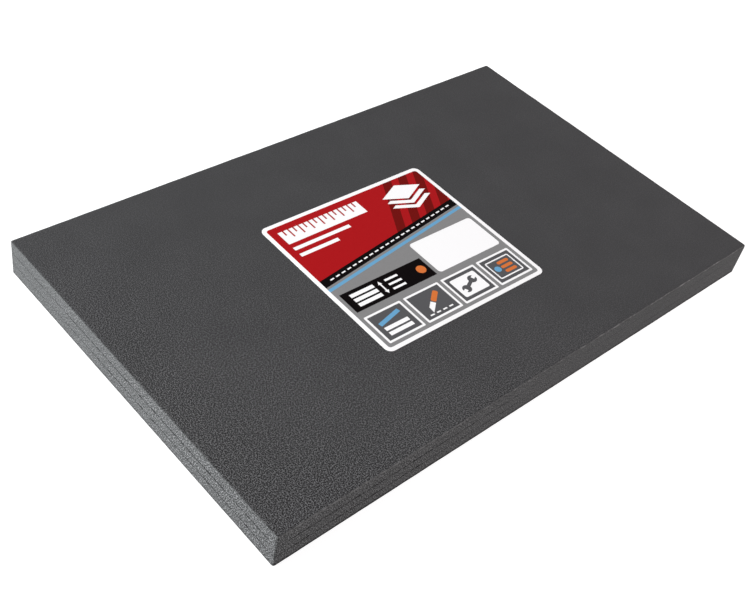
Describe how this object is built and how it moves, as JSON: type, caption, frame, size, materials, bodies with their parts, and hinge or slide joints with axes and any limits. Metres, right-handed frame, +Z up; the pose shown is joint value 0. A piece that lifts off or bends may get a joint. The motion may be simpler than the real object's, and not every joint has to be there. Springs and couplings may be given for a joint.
{
  "type": "foam case insert",
  "caption": "Rectangular foam insert of bonded plies with soft cut edges and a printed label stuck on top, cut to line the floor of a storage case.",
  "frame": {"origin": "centre of the base, on the surface that the insert lies on", "axes": "+X along the long side, +Y along the short side, +Z up through the plies to the label"},
  "size_m": [0.507, 0.312, 0.0302],
  "materials": {
    "foam": "matte",
    "label_stock": "satin",
    "print_red": "satin",
    "print_dark_red": "satin",
    "print_black": "satin",
    "print_grey": "satin",
    "print_dark_grey": "satin",
    "print_blue": "satin",
    "print_orange": "satin"
  },
  "bodies": {
    "root": {"foam_layer_bottom": "foam", "foam_layer_middle": "foam", "foam_layer_top": "foam", "label": "label_stock", "label_print_red": "print_red", "label_print_dark_red": "print_dark_red", "label_print_black": "print_black", "label_print_grey": "print_grey", "label_print_dark_grey": "print_dark_grey", "label_print_blue": "print_blue", "label_print_orange": "print_orange"}
  },
  "joints": []
}
